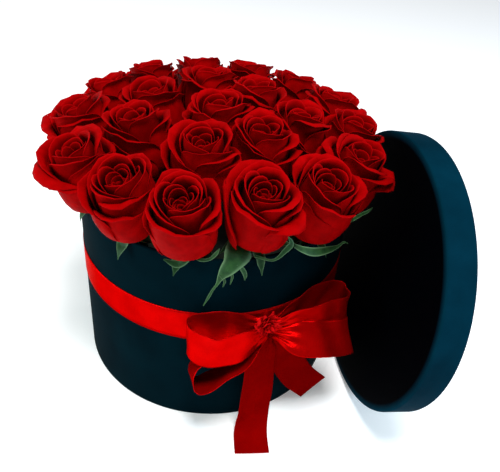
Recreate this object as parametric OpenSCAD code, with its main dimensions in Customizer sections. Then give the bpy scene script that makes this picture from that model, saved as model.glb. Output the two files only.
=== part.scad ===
// Round hat-box flower box: a wrapped board box with a satin ribbon and bow, a lid propped
// beside it, and an arrangement of cut roses standing in wet foam inside a liner.
// +Z is up, the origin is the centre of the box's underside, and the lid leans on the +X side.

/* [Box] */
// Outer diameter of the wrapped box
box_d = 200; // [190:1:204]
// Height of the box
box_h = 150; // [148:1:156]
// Thickness of the rolled board wall
board_t = 2; // [1.5:0.1:2.2]
// Thickness of the covering paper
wrap_t = 0.3; // [0.2:0.05:0.4]

/* [Lid] */
// Depth of the lid's rim, with the top board
lid_depth = 20; // [18:1:24]
// Radial gap between the box and the inside of the lid
lid_gap = 0.7; // [0.5:0.1:1]
// How far the lid leans back from upright
lid_lean = 6; // [5:0.5:7]
// Distance of the lid's centre towards the front
lid_forward = 60; // [50:1:70]
// Gap between the foot of the box and the lid's face at floor level
lid_stand_off = 1.2; // [1:0.1:3]

/* [Ribbon] */
// Width of the ribbon
ribbon_w = 25; // [20:1:26]
// Thickness of the ribbon
ribbon_t = 0.6; // [0.5:0.05:0.8]
// Height of the band's lower edge above the floor
band_z = 80; // [70:1:84]
// Direction that the bow faces, from the +X axis
bow_azimuth = -76; // [-80:1:-70]

/* [Roses] */
// Largest radius of a bloom
bloom_r = 19.5; // [16:0.5:19.5]
// Length of a bloom from its calyx to its top
bloom_l = 50; // [46:1:51]
// Radius of a stem
stem_r = 2.5; // [2:0.1:3]
// Height above the floor at which the cut stems end
stem_end_z = 40; // [30:1:60]

/* [Foam] */
// Height of the top of the foam above the floor
foam_top_z = 100; // [90:1:110]
// Thickness of the liner that keeps the water in
liner_t = 0.5; // [0.4:0.1:0.8]

/* [Hidden] */
box_r = box_d / 2;
wall_r = box_r - wrap_t;
inner_r = wall_r - board_t;
lid_inner_r = box_r + lid_gap;
lid_rim_t = 1.5;
lid_rim_r = lid_inner_r + lid_rim_t;
lid_r = lid_rim_r + wrap_t;
lid_board_t = 2;
liner_r = inner_r - 1.7;
liner_gap = 0.2;
liner_z = board_t + liner_gap;
liner_rise = 4;
foam_gap = 0.2;
hole_gap = 0.05;
knot_z = 91;
knot_r = 8.5;
band_r = box_r + ribbon_t;
neck_r = 5;
hip_l = 9;
hip_r = 6;
loop_t = 0.8;
loop_tip = 5;
loop_steps = 28;
loop_neck = 4;
tail_out = 4;
tail_fold_z = 6;
tail_reach = 36;
tail_neck = 4;
tail_short_l = 90;
bloom_steps = 9;
sepals = 5;
sepal_l = 12;
sepal_w = 5;
sepal_t = 0.8;
sepal_lift = 14;
fine = 128;

// Each rose: azimuth and radius of the top of its bloom, height of that top, outward tilt
roses = [
    [-157, 108, 201, 20], [-133, 104, 201, 19], [-109, 106, 201, 20], [-81, 99, 204, 17],
    [-55, 104, 201, 19], [-30, 104, 201, 19], [-5, 100, 201, 16], [20, 101, 203, 17],
    [45, 102, 201, 18], [69, 103, 201, 18], [93, 105, 201, 19], [117, 103, 201, 18],
    [142, 101, 201, 18], [170, 102, 201, 18],
    [-170, 62, 209, 11], [-109, 53, 212, 9], [-57, 44, 212, 8], [-11, 59, 209, 10],
    [47, 46, 211, 8], [91, 62, 209, 11], [146, 57, 209, 10], [-114, 3, 215, 0]
];
rose_names = [for (i = [1:len(roses)]) str(i < 10 ? "0" : "", i)];

module tube(outer, inner, height) {
    difference() {
        cylinder(r = outer, h = height, $fn = fine);
        translate([0, 0, -1]) cylinder(r = inner, h = height + 2, $fn = fine);
    }
}

// ---- box ----

module box_wall() {
    color("black") tube(wall_r, inner_r, box_h);
}

module box_base() {
    color("black") cylinder(r = inner_r, h = board_t, $fn = fine);
}

module box_wrap() {
    color("darkslategray") tube(box_r, wall_r, box_h);
}

// ---- lid: modelled with its face on the XY plane and its rim up, then stood on its edge ----

module stand_lid() {
    lid_centre_z = lid_r * cos(lid_lean) + lid_depth * sin(lid_lean);
    lid_centre_x = box_r + lid_stand_off + lid_centre_z * tan(lid_lean);
    translate([lid_centre_x, -lid_forward, lid_centre_z])
        rotate([0, 90 + lid_lean, 0])
            children();
}

module lid_board() {
    color("black") stand_lid()
        translate([0, 0, wrap_t]) cylinder(r = lid_inner_r, h = lid_board_t, $fn = fine);
}

module lid_rim() {
    color("black") stand_lid()
        translate([0, 0, wrap_t]) tube(lid_rim_r, lid_inner_r, lid_depth - wrap_t);
}

module lid_wrap() {
    color("darkslategray") stand_lid() difference() {
        cylinder(r = lid_r, h = lid_depth, $fn = fine);
        translate([0, 0, wrap_t]) cylinder(r = lid_rim_r, h = lid_depth, $fn = fine);
    }
}

// ---- ribbon: the bow is drawn with X along the box, -Y outwards and Z up, from the band ----

// Half the gap across a loop at a share of its length: a teardrop with a round far end
function loop_half(s, depth) = depth / 2 * pow(sin(90 * min(1, s / 0.72)), 1.3)
    * (s < 0.72 ? 1 : sqrt(max(0, 1 - pow((s - 0.72) / 0.28, 2))));

// One edge of a loop from near the knot to the far end, stood off by the ribbon's thickness
function loop_side(start, end, depth, off, side) = [
    for (i = [1:loop_steps - 1]) let (s = (side > 0 ? i : loop_steps - i) / loop_steps)
        [start + s * (end - start), side * (loop_half(s, depth) + off)]
];

function loop_outline(start, end, depth, off) = concat(
    off > 0 ? [[start, -off], [start, off]] : [[start, 0]],
    loop_side(start, end, depth, off, 1),
    [[end, 0]],
    loop_side(start, end, depth, off, -1)
);

module at_bow() {
    rotate([0, 0, bow_azimuth + 90])
        translate([0, -band_r, knot_z])
            children();
}

// A loop of ribbon that leaves the knot at an angle above the level, stands out by a turn and
// has its upper edge tilted towards the box
module bow_loop(len, depth, width, rise, out, turn, tilt, right) {
    side = right ? 1 : -1;
    color("red") at_bow()
        translate([side * loop_neck, -out, 0])
            rotate([0, right ? -rise : rise, 0])
                rotate([0, 0, right ? -turn : turn])
                    mirror([right ? 0 : 1, 0, 0])
                        rotate([-tilt, 0, 0]) intersection() {
                            translate([0, 0, -width / 2])
                                linear_extrude(width) difference() {
                                    polygon(loop_outline(0, len, depth, loop_t));
                                    polygon(loop_outline(loop_tip, len - loop_t, depth, 0));
                                }
                            rotate([90, 0, 0]) translate([0, 0, -depth])
                                linear_extrude(2 * depth) polygon([[-1, -5], [0, -5],
                                    [len * 0.55, -width / 2], [len + 2, -width / 2],
                                    [len + 2, width / 2], [len * 0.55, width / 2],
                                    [0, 5], [-1, 5]]);
                        }
}

module ribbon_band() {
    color("red") translate([0, 0, band_z]) tube(band_r, box_r, ribbon_w);
}

module bow_knot() {
    color("red") at_bow() translate([0, -knot_r - 0.5, 0]) sphere(r = knot_r, $fn = 48);
}

module bow_loop_left_upper() {
    bow_loop(52, 17, ribbon_w, 5, 12, 3, 0, false);
}

module bow_loop_left_lower() {
    bow_loop(58, 5, 18, -36, 2.9, -4, 0, false);
}

module bow_loop_right_upper() {
    bow_loop(66, 9, 20, 11, 5.5, -8, 0, true);
}

module bow_loop_right_lower() {
    bow_loop(58, 12, ribbon_w, -16, 17, 4, 30, true);
}

// The long tail hangs from the knot, turns at the floor and lies on it
module ribbon_tail_long() {
    color("red") at_bow() intersection() {
        translate([0, 0, -knot_z]) rotate([90, 0, 90]) translate([0, 0, -40])
            linear_extrude(60) polygon([
                [-tail_out - ribbon_t, knot_z - knot_r], [-tail_out - 3, knot_z / 2],
                [-tail_out - 4 - ribbon_t, tail_fold_z], [-tail_out - 8, ribbon_t],
                [-tail_reach, ribbon_t], [-tail_reach, 0], [-tail_out - 8, 0],
                [-tail_out - 4, tail_fold_z - ribbon_t], [-tail_out - 3 + ribbon_t, knot_z / 2],
                [-tail_out, knot_z - knot_r]]);
        rotate([0, 8, 0]) translate([-ribbon_w / 2, -tail_reach - 1, -120])
            cube([ribbon_w, tail_reach + 2, 116]);
    }
}

// The short tail is gathered at the knot and hangs clear of the wall, aslant to the right
module ribbon_tail_short() {
    color("red") at_bow() translate([3, -2.2, -5]) rotate([90, -31, 0])
        linear_extrude(ribbon_t) polygon([[-tail_neck, 0], [tail_neck, 0],
            [ribbon_w / 2, -ribbon_w], [ribbon_w / 2, -tail_short_l],
            [-ribbon_w / 2, -tail_short_l], [-ribbon_w / 2, -ribbon_w]]);
}

// ---- arrangement ----

module foam_liner() {
    color("lightgray") translate([0, 0, liner_z]) difference() {
        cylinder(r = liner_r, h = foam_top_z + liner_rise - liner_z, $fn = fine);
        translate([0, 0, liner_t]) cylinder(r = liner_r - liner_t, h = box_h, $fn = fine);
    }
}

module floral_foam() {
    color("darkgreen") difference() {
        translate([0, 0, liner_z + liner_t])
            cylinder(r = liner_r - liner_t - foam_gap, h = foam_top_z - liner_z - liner_t, $fn = fine);
        for (rose = roses) place_rose(rose)
            translate([0, 0, -stem_l(rose)])
                cylinder(r = stem_r + hole_gap, h = stem_l(rose) + 1, $fn = 32);
    }
}

// Moves a rose, drawn along +Z with its calyx at the origin, to where it stands
module place_rose(rose) {
    rotate([0, 0, rose[0]])
        translate([rose[1] - bloom_l * sin(rose[3]), 0, rose[2] - bloom_l * cos(rose[3])])
            rotate([0, rose[3], 0])
                children();
}

// Length of the stem from the calyx down to the height at which the stems are cut
function stem_l(rose) = (rose[2] - bloom_l * cos(rose[3]) - stem_end_z) / cos(rose[3]);

// Radius of a bloom at a share of its length: full shoulders over a narrow neck
function bloom_at(s) = s < 0.6
    ? neck_r + (bloom_r - neck_r) * sin(90 * s / 0.6)
    : bloom_r * (1 - 0.28 * pow((s - 0.6) / 0.4, 2));

module bloom(rose) {
    color("firebrick") place_rose(rose) rotate_extrude($fn = 48)
        polygon(concat([[0, 0]],
            [for (i = [0:bloom_steps]) [bloom_at(i / bloom_steps), bloom_l * 0.94 * i / bloom_steps]],
            [[bloom_r * 0.4, bloom_l], [0, bloom_l]]));
}

// A cut stem with its hip and the five sepals spread under the bloom
module stem(rose) {
    color("olivedrab") place_rose(rose) union() {
        translate([0, 0, -stem_l(rose)]) cylinder(r = stem_r, h = stem_l(rose) - hip_l + 1, $fn = 32);
        translate([0, 0, -hip_l]) rotate_extrude($fn = 48)
            polygon([[0, 0], [stem_r, 0], [hip_r - 0.5, 4], [hip_r, 7], [neck_r, hip_l], [0, hip_l]]);
        for (i = [0:sepals - 1]) rotate([0, 0, (i + 0.5) * 360 / sepals])
            translate([neck_r - 1, 0, -2]) rotate([0, -sepal_lift, 0])
                linear_extrude(sepal_t) polygon([[0, -2], [sepal_l * 0.35, -sepal_w / 2],
                    [sepal_l, 0], [sepal_l * 0.35, sepal_w / 2], [0, 2]]);
    }
}

box_wall();
box_base();
box_wrap();
ribbon_band();
bow_knot();
bow_loop_left_upper();
bow_loop_left_lower();
bow_loop_right_upper();
bow_loop_right_lower();
ribbon_tail_long();
ribbon_tail_short();
lid_board();
lid_rim();
lid_wrap();
foam_liner();
floral_foam();
for (i = [0:len(roses) - 1]) {
    bloom(roses[i]);
    stem(roses[i]);
}
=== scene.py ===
"""Looks of the rose flower box: satin ribbon, papered box and lid, and 22 cut roses, on the CAD frame."""
import math

import bpy
import numpy as np
from mathutils import Matrix, Vector


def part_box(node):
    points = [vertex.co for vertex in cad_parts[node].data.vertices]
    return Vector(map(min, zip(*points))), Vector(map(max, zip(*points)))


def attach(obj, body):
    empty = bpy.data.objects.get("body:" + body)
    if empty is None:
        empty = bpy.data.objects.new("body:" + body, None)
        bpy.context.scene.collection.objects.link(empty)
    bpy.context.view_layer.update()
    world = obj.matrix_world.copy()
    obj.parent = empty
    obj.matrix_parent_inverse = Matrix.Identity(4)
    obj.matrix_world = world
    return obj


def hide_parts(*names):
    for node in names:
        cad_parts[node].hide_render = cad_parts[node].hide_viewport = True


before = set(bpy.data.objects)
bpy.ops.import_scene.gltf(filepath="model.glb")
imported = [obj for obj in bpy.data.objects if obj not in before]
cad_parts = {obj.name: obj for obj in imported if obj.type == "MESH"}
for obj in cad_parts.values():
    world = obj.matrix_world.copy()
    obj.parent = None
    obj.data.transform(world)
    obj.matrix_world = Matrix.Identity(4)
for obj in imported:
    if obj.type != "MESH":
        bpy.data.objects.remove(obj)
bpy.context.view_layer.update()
MM = 0.001
UP = np.array([0.0, 0.0, 1.0])


# ---------------------------------------------------------------- measures read from the frame

def corners(node):
    lo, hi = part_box(node)
    return np.array(lo), np.array(hi)


def flat_end(node):
    """Centre and outward normal of a node's largest flat face that points upwards or along +X."""
    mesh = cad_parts[node].data
    mesh.calc_loop_triangles()
    groups = {}
    for tri in mesh.loop_triangles:
        n = np.array(tri.normal)
        if n @ np.array([1.0, 0.0, 1.0]) > 0:
            key = tuple(np.round(n, 3))
            groups.setdefault(key, []).append(tri)
    best = max(groups.values(), key=lambda ts: sum(t.area for t in ts))
    area = sum(t.area for t in best)
    centre = sum(np.array(t.center) * t.area for t in best) / area
    normal = sum(np.array(t.normal) * t.area for t in best) / area
    return centre, normal / np.linalg.norm(normal)


def rose_axis(number):
    """Base and axis of a bloom's CAD solid."""
    node = f"bloom_{number:02d}"
    top, axis = flat_end(node)
    reach = [(top - np.array(v.co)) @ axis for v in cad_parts[node].data.vertices]
    return top - axis * max(reach), axis


BOX_HI = corners("box_wrap")[1]
BOX_R, BOX_H = BOX_HI[0], BOX_HI[2]
WALL_R = corners("box_wall")[1][0]
BAND_LO, BAND_HI = corners("ribbon_band")
KNOT = sum(corners("bow_knot")) / 2
ROSES = range(1, 23)


# ---------------------------------------------------------------- camera, light and floor

CAMERA_AZIMUTH = math.radians(-8)
CAMERA_ELEVATION = math.radians(44.5)
CAMERA_DISTANCE = 555.7 * MM
CAMERA_HEADING = math.radians(12.17)
CAMERA_PITCH = math.radians(-36.4)
CAMERA_ROLL = math.radians(5.41)
CAMERA_LENS = 44.4
SENSOR_WIDTH = 36
NEAREST_SEEN, FARTHEST_SEEN = 0.01, 20

SKY_COLOUR = (0.95, 0.97, 1.0)
SKY_STRENGTH = 0.36
LIGHT_AIM = (0, 0, 0.12)
# Each light: name, place, side in metres, power in watts, colour
LIGHTS = [
    ("key", (0.05, -0.4, 1.25), 0.35, 15, (1, 1, 1)),
    ("left", (-1.1, -0.3, 0.4), 0.35, 9, (0.75, 1.0, 0.97)),
    ("right", (1.2, -0.5, 0.45), 0.35, 15, (0.55, 0.78, 1.0)),
    ("back", (-0.8, 0.8, 1.0), 0.5, 3.5, (1, 1, 1)),
]
FLOOR_SIDE = 8
FLOOR_DEPTH = 0.0006
FLOOR_COLOUR = (0.93, 0.93, 0.93)
FLOOR_GLOW = 0.22


def add_camera():
    data = bpy.data.cameras.new("camera")
    data.lens = CAMERA_LENS
    data.sensor_width = SENSOR_WIDTH
    data.clip_start = NEAREST_SEEN
    data.clip_end = FARTHEST_SEEN
    cam = bpy.data.objects.new("camera", data)
    bpy.context.scene.collection.objects.link(cam)
    flat = CAMERA_DISTANCE * math.cos(CAMERA_ELEVATION)
    place = Vector((flat * math.sin(CAMERA_AZIMUTH), -flat * math.cos(CAMERA_AZIMUTH),
                    CAMERA_DISTANCE * math.sin(CAMERA_ELEVATION)))
    turn = (Matrix.Rotation(-CAMERA_HEADING, 4, "Z")
            @ Matrix.Rotation(math.pi / 2 + CAMERA_PITCH, 4, "X")
            @ Matrix.Rotation(CAMERA_ROLL, 4, "Z"))
    cam.matrix_world = Matrix.Translation(place) @ turn
    bpy.context.scene.camera = cam


def add_area(name, place, side, power, colour):
    data = bpy.data.lights.new(name, "AREA")
    data.shape = "SQUARE"
    data.size = side
    data.energy = power
    data.color = colour
    lamp = bpy.data.objects.new(name, data)
    lamp.location = place
    lamp.rotation_euler = (Vector(LIGHT_AIM) - Vector(place)).to_track_quat("-Z", "Y").to_euler()
    bpy.context.scene.collection.objects.link(lamp)


def add_studio():
    world = bpy.data.worlds.new("studio")
    world.use_nodes = True
    back = world.node_tree.nodes["Background"]
    back.inputs["Color"].default_value = (*SKY_COLOUR, 1)
    back.inputs["Strength"].default_value = SKY_STRENGTH
    bpy.context.scene.world = world
    bpy.context.scene.view_settings.view_transform = "Standard"
    for light in LIGHTS:
        add_area(*light)


def add_floor():
    bpy.ops.mesh.primitive_plane_add(size=FLOOR_SIDE, location=(0, 0, -FLOOR_DEPTH))
    floor = bpy.context.object
    floor.name = "floor"
    m = new_material("pale_floor")
    bsdf(m).inputs["Base Color"].default_value = (*FLOOR_COLOUR, 1)
    bsdf(m).inputs["Roughness"].default_value = 0.8
    bsdf(m).inputs["Specular IOR Level"].default_value = 0.1
    bsdf(m).inputs["Emission Color"].default_value = (1, 1, 1, 1)
    bsdf(m).inputs["Emission Strength"].default_value = FLOOR_GLOW
    floor.data.materials.append(m)


# ---------------------------------------------------------------- materials

PETAL_DARK, PETAL_BRIGHT = (0.22, 0.0001, 0.0003), (0.34, 0.0002, 0.0007)
# Painted shade: near-black red put low in the bloom and in its inner rings, where the petals shade each
# other.
PETAL_PAINTED_SHADE = (0.028, 0.0001, 0.0002)
# Painted highlight: a lighter, pinker red along petal rims, where light catches them.
PETAL_EDGE_HIGHLIGHT = (0.30, 0.0006, 0.0014)
LEAF_DARK, LEAF_BRIGHT = (0.005, 0.028, 0.008), (0.020, 0.072, 0.018)
LEAF_RIM = (0.10, 0.19, 0.09)
# Painted shadow: near black put on the lid's face, which is the same paper as its rim but lies in the box's
# shadow.
FACE_PAINTED_SHADOW = (0.0001, 0.0002, 0.0006)
PLASTIC_BLACK = (0.002, 0.004, 0.003)
FOAM_DARK, FOAM_BRIGHT = (0.001, 0.004, 0.002), (0.004, 0.013, 0.006)
COVER_DARK, COVER_BRIGHT = (0.0001, 0.0042, 0.0068), (0.0002, 0.0075, 0.0115)
# Painted light: the lid's paper is a brighter, bluer copy of the cover paper, as if its rim were lit by the
# cool right lamp.
LID_LIT_DARK, LID_LIT_BRIGHT = (0.0002, 0.012, 0.022), (0.0004, 0.020, 0.036)
LINING_DARK, LINING_BRIGHT = (0.002, 0.002, 0.003), (0.005, 0.005, 0.006)
SATIN_DARK, SATIN_BRIGHT = (0.40, 0.0008, 0.0010), (0.50, 0.0014, 0.0014)
# Partly painted shade: the ribbon's back is matte like real satin's, and its red is made much darker so the
# tails and loop insides look shaded.
DULL_AND_SHADE_DARK, DULL_AND_SHADE_BRIGHT = (0.17, 0.0002, 0.0003), (0.20, 0.0003, 0.0003)
SHRED_DARK, SHRED_BRIGHT = (0.42, 0.002, 0.003), (0.60, 0.005, 0.006)
WEAVE_PITCH = 0.00055

def new_material(name):
    m = bpy.data.materials.new(name)
    m.use_nodes = True
    return m


def bsdf(m):
    return m.node_tree.nodes["Principled BSDF"]


def add_node(m, kind, **values):
    n = m.node_tree.nodes.new(kind)
    for key, value in values.items():
        if key in n.inputs:
            n.inputs[key].default_value = value
        else:
            setattr(n, key, value)
    return n


def link(m, out, into):
    m.node_tree.links.new(out, into)


def noise(m, scale, detail):
    n = add_node(m, "ShaderNodeTexNoise", Scale=scale, Detail=detail)
    link(m, add_node(m, "ShaderNodeTexCoord").outputs["Object"], n.inputs["Vector"])
    return n.outputs["Fac"]


def ramp(m, fac, low, high, start, end):
    """Colour that goes from low to high as a value goes from start to end."""
    r = add_node(m, "ShaderNodeValToRGB")
    r.color_ramp.elements[0].color = (*low, 1)
    r.color_ramp.elements[1].color = (*high, 1)
    r.color_ramp.elements[0].position = start
    r.color_ramp.elements[1].position = end
    link(m, fac, r.inputs["Fac"])
    return r.outputs["Color"]


def blend_colour(m, fac, a, b):
    mix = add_node(m, "ShaderNodeMix", data_type="RGBA")
    link(m, fac, mix.inputs["Factor"])
    for value, socket in ((a, mix.inputs[6]), (b, mix.inputs[7])):
        if isinstance(value, tuple):
            socket.default_value = (*value, 1)
        else:
            link(m, value, socket)
    return mix.outputs[2]


def attribute(m, name):
    return add_node(m, "ShaderNodeAttribute", attribute_name=name).outputs["Fac"]


def bump(m, height, distance):
    b = add_node(m, "ShaderNodeBump", Distance=distance, Strength=1.0)
    link(m, height, b.inputs["Height"])
    link(m, b.outputs["Normal"], bsdf(m).inputs["Normal"])


def petal_material():
    m = new_material("rose_petal")
    velvet = ramp(m, noise(m, 130, 4), PETAL_DARK, PETAL_BRIGHT, 0.3, 0.7)
    # Painted shade: darker red where "depth" is high, low in the bloom.
    shaded = blend_colour(m, attribute(m, "depth"), velvet, PETAL_PAINTED_SHADE)
    # Painted highlight: lighter, pinker red where "edge" is high, on petal rims.
    lit = blend_colour(m, attribute(m, "edge"), shaded, PETAL_EDGE_HIGHLIGHT)
    link(m, lit, bsdf(m).inputs["Base Color"])
    bsdf(m).inputs["Roughness"].default_value = 0.6
    bsdf(m).inputs["Specular IOR Level"].default_value = 0.015
    bsdf(m).inputs["Specular Tint"].default_value = (1.0, 0.2, 0.25, 1)
    bsdf(m).inputs["Sheen Weight"].default_value = 0.006
    bsdf(m).inputs["Sheen Roughness"].default_value = 0.35
    bsdf(m).inputs["Sheen Tint"].default_value = (1.0, 0.15, 0.2, 1)
    bump(m, noise(m, 900, 3), 0.0001)
    return m


def green_material():
    m = new_material("rose_green")
    tone = ramp(m, noise(m, 220, 4), LEAF_DARK, LEAF_BRIGHT, 0.3, 0.75)
    pale = blend_colour(m, attribute(m, "edge"), tone, LEAF_RIM)
    link(m, pale, bsdf(m).inputs["Base Color"])
    bsdf(m).inputs["Roughness"].default_value = 0.5
    bsdf(m).inputs["Specular IOR Level"].default_value = 0.12
    bump(m, noise(m, 700, 3), 0.0002)
    return m


def satin_material(name, low, high, metallic, rough):
    m = new_material(name)
    link(m, ramp(m, noise(m, 70, 2), low, high, 0.35, 0.65), bsdf(m).inputs["Base Color"])
    bsdf(m).inputs["Metallic"].default_value = metallic
    bsdf(m).inputs["Roughness"].default_value = rough
    bsdf(m).inputs["Specular IOR Level"].default_value = 0.0
    bsdf(m).inputs["Specular Tint"].default_value = (1.0, 0.13, 0.1, 1)
    ribs = add_node(m, "ShaderNodeMath", operation="SINE")
    scaled = add_node(m, "ShaderNodeMath", operation="MULTIPLY")
    scaled.inputs[1].default_value = 2 * math.pi / WEAVE_PITCH
    link(m, attribute(m, "along"), scaled.inputs[0])
    link(m, scaled.outputs[0], ribs.inputs[0])
    bump(m, ribs.outputs[0], 0.00003)
    return m


def paper_material(name, low, high, rough):
    """Paper that goes near black where a piece's "face" attribute is 1, as painted shadow and shade; only
    the lid's cover has one.
    """
    m = new_material(name)
    tone = ramp(m, noise(m, 30, 5), low, high, 0.3, 0.7)
    # Painted shadow: near black where "face" is high, on the lid's face and inside it.
    tone = blend_colour(m, attribute(m, "face"), tone, FACE_PAINTED_SHADOW)
    link(m, tone, bsdf(m).inputs["Base Color"])
    bsdf(m).inputs["Roughness"].default_value = rough
    bsdf(m).inputs["Specular IOR Level"].default_value = 0.004
    bump(m, noise(m, 1500, 3), 0.00012)
    return m


def liner_material():
    m = new_material("dark_plastic")
    bsdf(m).inputs["Base Color"].default_value = (*PLASTIC_BLACK, 1)
    bsdf(m).inputs["Roughness"].default_value = 0.3
    return m


def foam_material():
    m = new_material("floral_foam")
    link(m, ramp(m, noise(m, 500, 5), FOAM_DARK, FOAM_BRIGHT, 0.35, 0.7), bsdf(m).inputs["Base Color"])
    bsdf(m).inputs["Roughness"].default_value = 0.9
    bump(m, noise(m, 900, 4), 0.0008)
    return m


# ---------------------------------------------------------------- mesh helpers

def smooth(x):
    x = np.clip(x, 0, 1)
    return x * x * (3 - 2 * x)


def unit(v):
    v = np.asarray(v, float)
    return v / np.maximum(np.linalg.norm(v, axis=-1, keepdims=True), 1e-12)


def grid_faces(rows, cols, first, closed):
    faces = []
    for i in range(rows - 1):
        for j in range(cols if closed else cols - 1):
            a, b = first + i * cols + j, first + i * cols + (j + 1) % cols
            faces.append((a, b, b + cols, a + cols))
    return faces


def add_piece(name, verts, faces, material, body, attributes, thickness=0.0, back=None):
    """A piece that rides on a body; a thick one may have another material at its back."""
    mesh = bpy.data.meshes.new(name)
    mesh.from_pydata([tuple(v) for v in verts], [], faces)
    for key, values in attributes.items():
        layer = mesh.attributes.new(key, "FLOAT", "POINT")
        layer.data.foreach_set("value", np.asarray(values, np.float32))
    mesh.shade_smooth()
    mesh.materials.append(material)
    obj = bpy.data.objects.new(name, mesh)
    bpy.context.scene.collection.objects.link(obj)
    if thickness:
        mod = obj.modifiers.new("thickness", "SOLIDIFY")
        mod.thickness = thickness
        mod.offset = 0.0
        if back:
            mesh.materials.append(back)
            mod.material_offset = 1
    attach(obj, body)
    return obj


class Mesh:
    """Vertices, faces and attributes of one piece as it is put together."""

    def __init__(self, *names):
        self.verts, self.faces, self.values = [], [], {n: [] for n in names}

    def add_grid(self, points, closed=False, **values):
        rows, cols = points.shape[:2]
        first = sum(len(v) for v in self.verts)
        self.verts.append(points.reshape(-1, 3))
        self.faces += grid_faces(rows, cols, first, closed)
        for name, store in self.values.items():
            store.append(np.broadcast_to(values.get(name, 0.0), (rows, cols)).reshape(-1))

    def piece(self, name, material, body, **options):
        values = {k: np.concatenate(v) for k, v in self.values.items()}
        return add_piece(name, np.concatenate(self.verts), self.faces, material, body, values, **options)


def curve_through(points, count):
    """Evenly spaced points of a Catmull-Rom curve through the given rows."""
    p = np.asarray(points, float)
    p = np.vstack([2 * p[0] - p[1], p, 2 * p[-1] - p[-2]])
    t = np.linspace(0, 1, 16, endpoint=False)[:, None]
    out = []
    for a, b, c, d in zip(p, p[1:], p[2:], p[3:]):
        out.append(0.5 * (2 * b + (c - a) * t + (2 * a - 5 * b + 4 * c - d) * t ** 2
                          + (3 * b - a - 3 * c + d) * t ** 3))
    out = np.vstack(out + [p[-2:-1]])
    along = np.r_[0, np.cumsum(np.linalg.norm(np.diff(out[:, :3], axis=0), axis=1))]
    at = np.linspace(0, along[-1], count)
    return np.stack([np.interp(at, along, out[:, k]) for k in range(out.shape[1])], axis=1)


def lathe(profile, count=256):
    """A grid of points round the Z axis from (radius, height) rows, in metres."""
    turn = np.linspace(0, 2 * math.pi, count, endpoint=False)
    r, z = np.asarray(profile, float).T
    return np.stack([r[:, None] * np.cos(turn), r[:, None] * np.sin(turn),
                     np.repeat(z[:, None], count, axis=1)], axis=2)


def arc(centre, radius, start, end, count=6):
    a = np.radians(np.linspace(start, end, count))
    return np.stack([centre[0] + radius * np.cos(a), centre[1] + radius * np.sin(a)], axis=1)


# ---------------------------------------------------------------- box and lid

SEAM_TURN = math.radians(96)
SEAM_RISE = 0.22
SEAM_EDGE, SEAM_WIDTH, SEAM_FADE = 0.004, 0.16, 0.1
LINING_DEPTH = 2.3
LID_LINING_GAP = 0.25
LID_INSIDE_SHADE = 0.8


def box_cover(material):
    """Covering paper: up the outside, over the rim in a soft roll and down inside as the lining."""
    lining = WALL_R - LINING_DEPTH * MM
    roll = (BOX_R - lining) / 2
    profile = np.vstack([
        [[BOX_R - 1 * MM, 0.0]],
        arc((BOX_R - 0.8 * MM, 0.8 * MM), 0.8 * MM, -90, 0),
        [[BOX_R, z] for z in np.linspace(4 * MM, BOX_H - 4 * MM, 24)],
        arc((BOX_R - roll, BOX_H - 0.9 * MM), roll, 0, 180, 14),
        [[lining, z] for z in np.linspace(BOX_H - 4 * MM, 2.3 * MM, 12)],
    ])
    points = lathe(profile, 512)
    turn = np.arctan2(points[..., 1], points[..., 0])
    lap = smooth((turn - SEAM_TURN) / SEAM_EDGE) * smooth((SEAM_TURN + SEAM_WIDTH - turn) / SEAM_FADE)
    outside = np.hypot(points[..., 0], points[..., 1]) > BOX_R - 0.2 * MM
    points[..., :2] *= (1 + SEAM_RISE * MM / BOX_R * lap * outside)[..., None]
    mesh = Mesh()
    mesh.add_grid(points, closed=True)
    cover = mesh.piece("box_cover", material, "box")
    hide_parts("box_wrap")


def lid_cover(material):
    """Covering paper of the lid: round face, rim, over the open edge and down inside.

    Gives the middle of the face and the way the lid opens.
    """
    centre, axis = flat_end("lid_board")
    face_lo, face_hi = corners("lid_wrap")
    axis = np.array([axis[0], 0, axis[2]])
    axis /= np.linalg.norm(axis)
    wrap = np.array([v.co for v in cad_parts["lid_wrap"].data.vertices])
    near, far = (wrap @ axis).min(), (wrap @ axis).max()
    centre = centre + axis * (near - centre @ axis)
    outer = (face_hi[1] - face_lo[1]) / 2
    rim = np.array([v.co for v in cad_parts["lid_rim"].data.vertices]) - centre
    radial = np.linalg.norm(rim - np.outer(rim @ axis, axis), axis=1)
    inner = radial.min() - LID_LINING_GAP * MM
    depth = far - near
    edge = (outer - inner) / 2
    profile = np.vstack([
        [[r, 0.0] for r in np.linspace(0.001 * MM, outer - 1.2 * MM, 24)],
        arc((outer - 1 * MM, 1 * MM), 1 * MM, -90, 0),
        [[outer, z] for z in np.linspace(2 * MM, depth - 2 * MM, 8)],
        arc((outer - edge, depth - edge), edge, 0, 180, 12),
        [[inner, z] for z in np.linspace(depth - 2 * MM, 3.4 * MM, 8)],
        arc((inner - 1 * MM, 3.6 * MM), 1 * MM, 0, -90),
        [[r, 2.55 * MM] for r in np.linspace(inner - 2 * MM, 0.001 * MM, 20)],
    ])
    points = lathe(profile)
    side = np.array([0.0, 1.0, 0.0])
    up = np.cross(axis, side)
    # Painted shadow: the outer face goes near black though it is the same paper as the rim; the inside is
    # darkened as painted shade.
    face = smooth((outer - 1 * MM - profile[:, 0]) / (2 * MM)) * (profile[:, 1] < 1 * MM)
    face = np.maximum(face, LID_INSIDE_SHADE * (profile[:, 0] < inner + 0.1 * MM))
    points = centre + points @ np.array([side, up, axis])
    mesh = Mesh("face")
    mesh.add_grid(points, closed=True, face=face[:, None])
    cover = mesh.piece("lid_cover", material, "lid")
    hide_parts("lid_wrap")
    return centre, axis


# ---------------------------------------------------------------- ribbon

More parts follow.
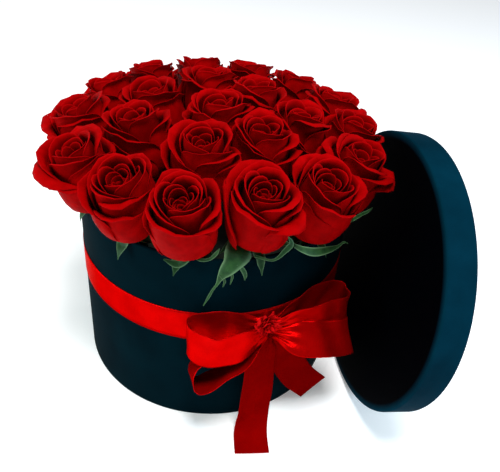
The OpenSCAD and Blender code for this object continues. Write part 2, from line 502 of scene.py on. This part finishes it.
RIBBON_W = BAND_HI[2] - BAND_LO[2]
RIBBON_T = 0.35 * MM
RIBBON_ROWS, RIBBON_COLS = 120, 25
BAND_GAP = 0.32
GATHER_LENGTH = 11
GATHER_NARROWING = 0.68
PLEAT_DEPTH = 1.4
RIPPLE_DEPTH, RIPPLE_LENGTH, RIPPLE_SLANT = 0.7, 4.2, 1.3
WIDTH_CROWN = 0.25
BOW_TURN = math.atan2(KNOT[1], KNOT[0])
BOW_OUT = np.array([math.cos(BOW_TURN), math.sin(BOW_TURN), 0])
BOW_RIGHT = np.cross(UP, BOW_OUT)
BOW_HOME = BOW_OUT * BAND_HI[0] + UP * KNOT[2]
BOW_AXES = np.array([BOW_RIGHT, BOW_OUT, UP])


def from_bow(points):
    """Rows of right, out and up from the knot's foot on the band, in millimetres, as frame points."""
    return BOW_HOME + np.asarray(points, float) * MM @ BOW_AXES


def ribbon(name, rows, faces, gather, shine_out, ripple=1.0):
    """A ribbon along rows of (right, out, up, and the way its width points), gathered at its ends.

    faces holds its two materials, and shine_out says which way the first one looks. gather says how
    tightly each end is gathered, and ripple how deep its waves are.
    """
    rows = np.asarray(rows, float)
    line = curve_through(rows, RIBBON_ROWS)
    centre = from_bow(line[:, :3])
    across = unit(line[:, 3:6] @ BOW_AXES)
    tangent = unit(np.gradient(centre, axis=0))
    across = unit(across - (across * tangent).sum(1)[:, None] * tangent)
    normal = np.cross(tangent, across)
    along = np.r_[0, np.cumsum(np.linalg.norm(np.diff(centre, axis=0), axis=1))]
    tight = np.maximum(gather[0] * np.exp(-(along / (GATHER_LENGTH * MM)) ** 2),
                       gather[1] * np.exp(-((along[-1] - along) / (GATHER_LENGTH * MM)) ** 2))[:, None]
    j = np.linspace(-1, 1, RIBBON_COLS)[None, :]
    half = RIBBON_W / 2 * (1 - GATHER_NARROWING * tight)
    wave = RIPPLE_DEPTH * MM * np.sin(along[:, None] / (RIPPLE_LENGTH * MM) + RIPPLE_SLANT * j)
    pleats = PLEAT_DEPTH * MM * tight * np.cos(3 * math.pi * j)
    fold = pleats + (WIDTH_CROWN * MM * j ** 2 + ripple * wave) * (1 - tight)
    points = (centre[:, None, :] + across[:, None, :] * (half * j)[..., None]
              + normal[:, None, :] * fold[..., None])
    if (shine_out(centre) * normal).sum() > 0:
        points = points[:, ::-1]
    mesh = Mesh("along")
    mesh.add_grid(points, along=along[:, None])
    piece = mesh.piece(name, faces[0], "box", thickness=RIBBON_T, back=faces[1])
    return piece, along[-1]


def ribbon_band(material):
    """The band round the box, standing a hair off the paper."""
    turn = np.linspace(0, 2 * math.pi, 257)
    r = BOX_R + BAND_GAP * MM
    j = np.linspace(-1, 1, 9)
    z = (BAND_LO[2] + BAND_HI[2]) / 2 + RIBBON_W / 2 * j
    points = np.stack([np.repeat(r * np.cos(turn)[:, None], len(j), 1),
                       np.repeat(r * np.sin(turn)[:, None], len(j), 1),
                       np.repeat(z[None, :], len(turn), 0)], axis=2)
    mesh = Mesh("along")
    mesh.add_grid(points, along=(turn * r)[:, None])
    piece = mesh.piece("ribbon_band_satin", material, "box", thickness=RIBBON_T)
    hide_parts("ribbon_band")


# Each loop: the way its upper edge points, then rows of right, out and up of the ribbon's middle
LOOPS = {
    "left_upper": [(0.05, -0.06, 1),
        (-2, 9, 7), (-8, 12, 5), (-15, 14.5, 2.5), (-28, 17.5, 2), (-42, 15.5, 1), (-51, 9.5, 2),
        (-55.5, 1, 3.5), (-52, -6.5, 4.5), (-42, -6.5, 5), (-22, -1, 4), (-10, 3, 5), (-2, 5, 6)],
    "left_lower": [(-0.2, 0.88, 0.33),
        (-3, 7, 0), (-15, 6, -5), (-29, 4, -10), (-40, 2, -12), (-47, 1, -16), (-51, 2, -22),
        (-53, 3.5, -29), (-52.5, 5, -34.5), (-47.5, 7, -36), (-35.5, 8.5, -30), (-19, 9, -19.5),
        (-7, 8, -9), (-2, 7, -2)],
    "right_upper": [(-0.14, 0.1, 1),
        (2, 8, 6), (10, 9.5, 6), (20, 11, 6.5), (32, 11, 7), (44, 10, 6), (56, 7, 3.5), (63, 3, 1.5),
        (66, -3, 1), (62.5, -8.5, 2), (54, -9.5, 5), (43, -6.5, 8), (30, -1.5, 8), (16, 3, 7), (6, 5, 6.5),
        (2, 5, 6)],
    "right_lower": [(0.13, -0.72, 0.7),
        (2, 10, 1), (9, 14, 0), (20, 18.5, -2.5), (33, 21, -5), (48, 20.5, -9.5), (59, 17.5, -14),
        (64, 12, -19), (61, 6, -23), (50, 5, -22), (34, 7, -15), (18, 8, -6), (4, 8, 0)],
}
# Each tail's rows: right, out and up of its middle, then the way its width points
TAILS = {
    "long": [
        (-1.5, 9, -1, 1, 0, 0), (-3.5, 10, -10, 1, -0.1, 0), (-5, 10, -24, 1, -0.15, 0),
        (-5.2, 10.5, -40, 1, -0.1, 0), (-5.5, 11, -58, 1, 0, 0), (-7, 12.5, -74, 1, 0, 0),
        (-9.5, 16, -85, 1, 0.1, 0), (-12.5, 22.5, -90.1, 1, 0.15, 0), (-17, 36, -90.5, 1, 0.15, 0)],
    "short": [
        (2, 9, -2, 0.9, 0, 0.4), (8, 8, -15, 0.9, 0, 0.45), (17, 6.5, -33, 0.82, 0, 0.57),
        (31, 4.5, -59, 0.76, 0, 0.65), (48.5, 3, -81.2, 0.76, 0, 0.65)],
}


def loop_outside(centre):
    """The way from the middle of a loop to each point of its line."""
    return centre - centre.mean(axis=0)


def tail_front(centre):
    """The way a tail's shiny side looks: back to the box and down."""
    return np.zeros_like(centre) - BOW_OUT - 0.5 * UP


def bow(faces):
    """The loops shine outwards, the upper left one on both sides, and the tails show their dull side, whose
    darker red is partly painted shade.
    """
    for side, (width_way, *line) in LOOPS.items():
        rows = [(*point, *width_way) for point in line]
        # The darker back, partly painted shade, goes inside every loop but the upper left one.
        pair = (faces[0], faces[0]) if side == "left_upper" else faces
        piece, length = ribbon(f"satin_loop_{side}", rows, pair, (1, 1), loop_outside)
        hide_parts("bow_loop_" + side)
    for name, rows in TAILS.items():
        piece, length = ribbon(f"satin_tail_{name}", rows, faces, (1, 0), tail_front, 0.0)
        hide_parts("ribbon_tail_" + name)


ROSETTE_MIDDLE = np.array([-6.5, 11.0, 14.5])
STRANDS, STRAND_ROWS = 36, 12
GOLDEN_ANGLE = 2.399963
STRAND_REACH, STRAND_EXTRA = 8.5, 4.5
STRAND_BEND = 2.5
STRAND_HALF_WIDTHS = [1.5, 2.0, 0.4]
STRAND_CUP = 0.8
STRAND_T = 0.25
BALL_R = 5
BALL_PLACE = [-4.5, 8, 9]


def knot(material):
    """The ragged rosette of narrow curled strands that ties the bow."""
    rng = np.random.default_rng(5)
    mesh = Mesh("along")
    for i in range(STRANDS):
        turn, lift = i * GOLDEN_ANGLE, math.sqrt((i + 0.5) / STRANDS)
        way = np.array([math.cos(turn) * lift, 1.05 - 0.6 * lift, math.sin(turn) * lift + 0.25])
        reach = STRAND_REACH + STRAND_EXTRA * rng.random()
        swirl = np.array([-math.sin(turn), 0.4 * rng.standard_normal(), math.cos(turn)])
        bend = rng.uniform(-STRAND_BEND, STRAND_BEND) * swirl + np.array([0, 2.0, 0])
        rows = [(*(ROSETTE_MIDDLE + way * 2.5), *swirl),
                (*(ROSETTE_MIDDLE + way * reach * 0.7 + bend * 0.6), *swirl),
                (*(ROSETTE_MIDDLE + way * reach + bend * 0.2), *swirl)]
        line = curve_through(rows, STRAND_ROWS)
        centre, across = from_bow(line[:, :3]), unit(line[:, 3:] @ BOW_AXES)
        share = np.linspace(0, 1, STRAND_ROWS)
        half = np.interp(share, [0, 0.6, 1], STRAND_HALF_WIDTHS)[:, None] * MM
        j = np.linspace(-1, 1, 5)[None, :]
        cup = (j ** 2 * STRAND_CUP * MM)[..., None] * unit(BOW_OUT + UP)
        mesh.add_grid(centre[:, None] + across[:, None] * (half * j)[..., None] + cup,
                      along=np.linspace(0, 0.006, STRAND_ROWS)[:, None])
    lean = np.linspace(-1.5, 1.5, 12)
    ball = lathe([[BALL_R * MM * math.cos(a), BALL_R * MM * math.sin(a)] for a in lean], 24)
    mesh.add_grid(ball + from_bow(BALL_PLACE), closed=True)
    piece = mesh.piece("knot_rosette", material, "box", thickness=STRAND_T * MM)
    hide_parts("bow_knot")


# ---------------------------------------------------------------- roses

# Each ring of petals: count, belly radius, height, curl at the lip, lip radius, half spread, tip, lean
RINGS = [
    (3, 4.6, 41.0, 10, 1.3, 100, 0.0, 0.8),
    (3, 7.2, 45.0, 18, 1.8, 92, 0.0, 1.2),
    (3, 10.2, 48.0, 32, 2.4, 84, 0.3, 2.0),
    (3, 13.6, 49.5, 52, 3.2, 82, 0.8, 3.2),
    (3, 17.2, 47.5, 84, 4.2, 80, 1.8, 5.0),
    (3, 20.0, 42.0, 108, 5.0, 72, 2.8, 6.2),
    (2, 21.8, 34.5, 120, 5.4, 68, 3.6, 6.6),
]
RING_TURN = math.radians(37)
PETAL_ROWS, PETAL_COLS = 16, 15
PETAL_FOOT = (2.5, 1.0)
PETAL_T = 0.3
BELLY_SHARE = 0.34
SHADE_RADIUS, SHADE_FADE = 19, 7
HEART_TURNS, HEART_STEPS, HEART_ROWS = 2.6, 80, 9
HEART_R, HEART_PITCH = 0.9, 1.2
HEART_FOOT, HEART_TOP = 22, 35.5
BLOOM_MIDDLE = 32
NEIGHBOUR_REACH = 62
NEIGHBOUR_GAP = 0.2
LID_CLEARANCE = 0.6
PRESS_SOFTNESS = 7


def petal_line(base, belly, radius, top_r, height, curl, lip, count):
    """One line up a petal, from (base radius, base height) round the belly to the curled lip."""
    a = np.linspace(0, math.pi / 2, 8)
    bowl = np.stack([base[0] + (radius - base[0]) * np.sin(a), base[1] + belly * (1 - np.cos(a))], axis=1)
    rise = np.linspace(0, 1, 8)[1:, None]
    start = np.array([radius, base[1] + belly])
    stop = np.array([top_r, height - lip * math.sin(min(curl, math.pi / 2))])
    wall = start + (stop - start) * rise + np.array([1.0, 0.0]) * (radius * 0.05) * np.sin(math.pi * rise)
    b = np.linspace(0, curl, 10)[1:, None]
    roll = stop + lip * np.hstack([1 - np.cos(b), np.sin(b)])
    line = np.vstack([bowl, wall, roll])
    along = np.r_[0, np.cumsum(np.linalg.norm(np.diff(line, axis=0), axis=1))]
    at = along[-1] * (1 - (1 - np.linspace(0, 1, count)) ** 1.5)
    return np.stack([np.interp(at, along, line[:, k]) for k in range(2)], axis=1)


def petal(grids, rng, turn, ring, open_by):
    """Adds one petal, in millimetres round the bloom's axis, with how near its edge (for the painted
    highlight on its rim) and how deep it lies (for painted shade).
    """
    radius, height, curl, lip, spread, tip, slope = ring[1:]
    radius = radius * (1 + 0.05 * rng.standard_normal())
    height = height + 0.7 * rng.standard_normal()
    curl = math.radians(curl * open_by * (1 + 0.2 * rng.standard_normal()))
    spread = math.radians(spread)
    wave = rng.uniform(0, 2 * math.pi, 2)
    lean = -slope * (0.6 + 0.5 * rng.random())
    u = np.sin(np.linspace(-math.pi / 2, math.pi / 2, PETAL_COLS))
    v = np.linspace(0, 1, PETAL_ROWS)
    grid = np.zeros((PETAL_ROWS, PETAL_COLS, 3))
    for k, x in enumerate(u):
        side = abs(x)
        rounded = height * (0.6 + 0.4 * math.sqrt(1 - 0.998 * side ** 3.4))
        top = rounded + tip * max(0, 1 - side / 0.3) + lean * x
        turned = curl * (1 - 0.35 * side ** 2)
        top_r = radius * (0.90 + 0.04 * open_by) + 0.8 * x
        rolled = lip * (1 - 0.8 * side ** 3)
        line = petal_line(PETAL_FOOT, BELLY_SHARE * height, radius, top_r, top, turned, rolled, PETAL_ROWS)
        wide = 0.42 + 0.58 * smooth(v / 0.5)
        at = turn + spread * x * wide
        r = line[:, 0] + 0.9 * x * smooth(v / 0.4) + 0.35 * np.sin(5 * x + wave[0]) * v ** 3
        z = line[:, 1] + 0.4 * np.sin(4 * x + wave[1]) * v ** 3
        grid[:, k] = np.stack([r * np.cos(at), r * np.sin(at), z], axis=1)
    v = v[:, None]
    # Painted highlight: "edge" marks the petal's sides and lip for the lighter rim colour.
    edge = np.maximum(smooth((np.abs(u)[None, :] - 0.985) / 0.015) * (v > 0.3), smooth((v - 0.985) / 0.015))
    # Painted shade: "depth" darkens the lower part of the inner petals, where the bloom's hollow lies in
    # shade.
    inner = np.clip((SHADE_RADIUS - radius) / SHADE_FADE, 0.05, 1)
    depth = inner * smooth((0.93 - v) / 0.3) * np.ones_like(u)[None, :]
    grids.append((grid * MM, edge, depth))


def heart(grids, rng):
    """Adds the coiled petals in the middle of a bloom."""
    turns = np.linspace(0, HEART_TURNS * 2 * math.pi, HEART_STEPS)
    wave = rng.uniform(0, 6)
    r = HEART_R + HEART_PITCH * turns / (2 * math.pi)
    top = HEART_TOP + 1.4 * turns / (2 * math.pi) + 0.5 * np.sin(2.3 * turns + wave)
    grid = np.zeros((HEART_ROWS, HEART_STEPS, 3))
    for i, v in enumerate(np.linspace(0, 1, HEART_ROWS)):
        flare = 1 + 0.30 * smooth((v - 0.75) / 0.25)
        height = HEART_FOOT + (top - HEART_FOOT) * v
        grid[i] = np.stack([r * flare * np.cos(turns), r * flare * np.sin(turns), height], axis=1)
    v = np.linspace(0, 1, HEART_ROWS)[:, None]
    # Painted highlight on the heart's lip, at a third strength.
    edge = 0.3 * smooth((v - 0.9) / 0.1) * np.ones((1, HEART_STEPS))
    # Painted shade: the heart is darkened all over, most of all low down.
    depth = (0.45 + 0.55 * smooth((0.95 - v) / 0.3)) * np.ones((1, HEART_STEPS))
    grids.append((grid * MM, edge, depth))


def frame_of(axis, spin):
    """Two directions across an axis, turned about it, and the axis."""
    side = unit(np.cross(UP if abs(axis[2]) < 0.999 else np.array([0, 1.0, 0]), axis))
    ahead = np.cross(axis, side)
    c, s = math.cos(spin), math.sin(spin)
    return np.array([side * c + ahead * s, ahead * c - side * s, axis])


def press(points, planes):
    """Squeezes points back from each (place, outward normal) plane, ever harder as they near it."""
    for place, normal in planes:
        d = (points - place) @ normal
        soft = PRESS_SOFTNESS * MM
        over = d > -soft
        back = -soft + soft * (1 - np.exp(-(d + soft) / soft))
        points = points + np.where(over, back - d, 0)[:, None] * normal
    return points


def rose_heads(material, lid_plane):
    """The petals of every rose, pressed back from its neighbours and from the lid."""
    axes = {n: rose_axis(n) for n in ROSES}
    middles = {n: base + axis * BLOOM_MIDDLE * MM for n, (base, axis) in axes.items()}
    for n in ROSES:
        rng = np.random.default_rng(100 + n)
        base, axis = axes[n]
        open_by = rng.uniform(0.8, 1.15)
        grids = []
        heart(grids, rng)
        turn = rng.uniform(0, 2 * math.pi)
        for ring in RINGS:
            turn += RING_TURN
            for k in range(ring[0]):
                place = turn + 2 * math.pi * k / ring[0] + 0.12 * rng.standard_normal()
                petal(grids, rng, place, ring, open_by)
        planes = []
        for other in ROSES:
            gap = middles[other] - middles[n]
            if other != n and np.linalg.norm(gap) < NEIGHBOUR_REACH * MM:
                planes.append((middles[n] + gap / 2 - unit(gap) * NEIGHBOUR_GAP * MM, unit(gap)))
        planes.append(lid_plane)
        turnover = frame_of(axis, rng.uniform(0, 2 * math.pi))
        # Petal values: "edge" for the painted rim highlight, "depth" for painted shade.
        mesh = Mesh("edge", "depth")
        for grid, edge, depth in grids:
            shape = grid.shape
            points = base + grid.reshape(-1, 3) @ turnover
            mesh.add_grid(press(points, planes).reshape(shape), edge=edge, depth=depth)
        piece = mesh.piece(f"rose_{n:02d}_petals", material, "arrangement", thickness=PETAL_T * MM)
        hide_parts(f"bloom_{n:02d}")


def sepal(turn, length, width, sag):
    """A narrow leaf from the hip outwards, in millimetres."""
    t = np.linspace(0, 1, 18)[:, None]
    x = np.linspace(-1, 1, 7)[None, :]
    y = x * (width * np.sin(math.pi * np.clip(t * 0.8 + 0.2, 0, 1)) ** 1.1 * (1 - t ** 4) + 0.3)
    out = 5.0 + length * (t - 0.5 * sag * t ** 2)
    z = -1.5 + 5.0 * t - length * 0.75 * sag * t ** 2 + 0.05 * np.abs(y) ** 2
    c, s = math.cos(turn), math.sin(turn)
    grid = np.stack([out * c - y * s, out * s + y * c, z], axis=2)
    return grid, np.abs(x) ** 6 * np.ones_like(y)


def long_sepal(rows):
    """A leaf that faces out and up, along rows of azimuth (degrees), radius, height and half width (mm)."""
    line = curve_through(np.array(rows, float), 24)
    turn = np.radians(line[:, 0])
    ahead = np.stack([np.cos(turn), np.sin(turn), 0 * turn], axis=1)
    centre = ahead * line[:, 1:2] + UP * line[:, 2:3]
    across = unit(np.cross(np.gradient(centre, axis=0), unit(ahead + UP)))
    j = np.linspace(-1, 1, 7)[None, :, None]
    half = np.maximum(line[:, 3], 0.15)[:, None, None]
    points = centre[:, None] + across[:, None] * half * j - unit(ahead + UP)[:, None] * 0.12 * half * j ** 2
    return points * MM, np.abs(j[..., 0]) ** 6 * np.ones((len(line), 1))


def over_the_rim(points):
    """Lifts points that would pass through the rim of the box to just above it."""
    r = np.hypot(points[..., 0], points[..., 1])
    near = smooth((r - (WALL_R - 8 * MM)) / (4 * MM)) * smooth((BOX_R + 2.5 * MM - r) / (1.5 * MM))
    floor = BOX_H + 1.0 * MM
    lifted = np.maximum(points[..., 2], floor)
    points[..., 2] += near * (lifted - points[..., 2])
    outside = (r > BOX_R - 1 * MM) & (r < BOX_R + 1 * MM) & (points[..., 2] < floor)
    points[outside, :2] *= ((BOX_R + 1 * MM) / r[outside])[:, None]
    return points


# Sepals that hang or curl as in the photograph, by rose. Their rows were solved from the picture by
# another script and rounded, as report.md says, so they aren't an example to follow.
LONG_SEPALS = {
    3: [[(-107, 99, 157, 2), (-106.5, 105, 156, 3), (-109.5, 107.5, 150.5, 2.6), (-114, 108, 152.5, 0.4)],
        [(-105, 103, 156, 0.8), (-102, 108, 156.5, 1), (-99, 108, 157.5, 0.9), (-97, 108, 162, 1.1),
         (-96, 108, 166, 0.2)]],
    4: [[(-83, 87, 155.5, 3), (-87, 94, 156.5, 8), (-89.5, 101, 155.5, 8.4), (-91.5, 104, 150.5, 5.7),
         (-93.5, 104.5, 145.5, 4.2), (-95, 104, 140, 2.1), (-96, 103.5, 134, 0.9), (-97.5, 103.5, 129, 0.7),
         (-98.5, 103.5, 124, 0.9), (-100.5, 103.5, 115, 0.2)],
        [(-89.5, 104.5, 151, 0.8), (-87.5, 104.5, 146, 1.5), (-86.5, 104.5, 141.5, 1.3),
         (-86.5, 104, 137, 0.2)],
        [(-92.5, 104.5, 147, 0.8), (-91, 104.5, 141.5, 0.9), (-91.5, 104, 134, 0.2)],
        [(-95, 104, 142, 0.8), (-93.5, 104, 137, 0.8), (-94, 103.5, 131.5, 0.2)],
        [(-84, 105, 157, 0.8), (-79, 112, 157.5, 0.7), (-75.5, 112.5, 163, 1.5), (-73.5, 112.5, 168, 1.8),
         (-75, 112.5, 174, 0.2)]],
    5: [[(-72, 107, 164, 0.8), (-69, 112, 161, 2), (-64.5, 114, 157, 2.8), (-58, 114, 153.5, 2.2),
         (-53, 114, 151.5, 1), (-50.5, 115, 153, 0.7), (-48.5, 116, 150, 0.2)]],
    6: [[(-56, 113, 170, 0.8), (-52, 117, 172, 1.1), (-46, 118, 171.5, 1.1), (-40.5, 118, 168, 0.9),
         (-34, 118, 164, 0.2)]],
}


SEPALS = 5
INNER_SEPAL_REACH = 16
STEM_R, STEM_ROWS, STEM_SIDES = 2.4, 30, 20
HIP_FOOT = -9
# Radius and height of the hip, from the stem up to the calyx
HIP_PROFILE = [[3.2, -7.5], [5.2, -5], [6, -2.5], [5.2, -0.5], [3.5, 0.8], [0.01, 1.2]]


def rose_stems(material):
    """The stem, hip and sepals of every rose."""
    for n in ROSES:
        rng = np.random.default_rng(300 + n)
        base, axis = rose_axis(n)
        cut_height = corners(f"stem_{n:02d}")[0][2]
        length = (base[2] - cut_height) / axis[2]
        outward = math.atan2(axis[1], axis[0])
        outer = np.hypot(base[0], base[1]) > BOX_R / 2
        turnover = frame_of(axis, 0)
        local_out = np.array([math.cos(outward), math.sin(outward), 0]) @ turnover.T
        ahead = math.atan2(local_out[1], local_out[0])
        mesh = Mesh("edge")
        steps = np.linspace(-length / MM, HIP_FOOT, STEM_ROWS)
        profile = [[0.01, steps[0]]] + [[STEM_R, z] for z in steps] + HIP_PROFILE
        mesh.add_grid(base + lathe(np.array(profile) * MM, STEM_SIDES) @ turnover, closed=True)
        for k in range(SEPALS):
            turn = ahead + 2 * math.pi * (k + rng.uniform(-0.15, 0.15)) / SEPALS
            reach, wide, sag = rng.uniform(20, 29), rng.uniform(3.0, 4.4), rng.uniform(0.25, 0.8)
            if not outer:
                reach = INNER_SEPAL_REACH
            local, edge = sepal(turn, reach, wide, sag)
            mesh.add_grid(over_the_rim(base + local * MM @ turnover), edge=edge)
        for rows in LONG_SEPALS.get(n, []):
            points, edge = long_sepal(rows)
            mesh.add_grid(points, edge=edge)
        piece = mesh.piece(f"rose_{n:02d}_stem", material, "arrangement")
        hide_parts(f"stem_{n:02d}")


# ---------------------------------------------------------------- putting it together

def main():
    add_camera()
    add_studio()
    add_floor()
    cover = paper_material("cover_paper", COVER_DARK, COVER_BRIGHT, 0.62)
    lining = paper_material("black_paper", LINING_DARK, LINING_BRIGHT, 0.7)
    satin = satin_material("red_satin", SATIN_DARK, SATIN_BRIGHT, 0.75, 0.3)
    # The ribbon's back: matte like real satin's, and darker as painted shade.
    dull = satin_material("red_satin_back_and_shade", DULL_AND_SHADE_DARK, DULL_AND_SHADE_BRIGHT, 0.0, 0.6)
    petals, green = petal_material(), green_material()
    box_cover(cover)
    # The lid gets the brighter, bluer copy of the cover paper as painted light.
    face, axis = lid_cover(paper_material("lid_paper_painted_light", LID_LIT_DARK, LID_LIT_BRIGHT, 0.62))
    ribbon_band(satin)
    knot(satin_material("red_shreds", SHRED_DARK, SHRED_BRIGHT, 0.0, 0.5))
    bow((satin, dull))
    rose_heads(petals, (face - axis * LID_CLEARANCE * MM, axis))
    rose_stems(green)
    plain = {"box_wall": lining, "box_base": lining, "lid_board": lining, "lid_rim": lining,
             "foam_liner": liner_material(), "floral_foam": foam_material()}
    for node, material in plain.items():
        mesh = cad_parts[node].data
        mesh.materials.clear()
        mesh.materials.append(material)


main()
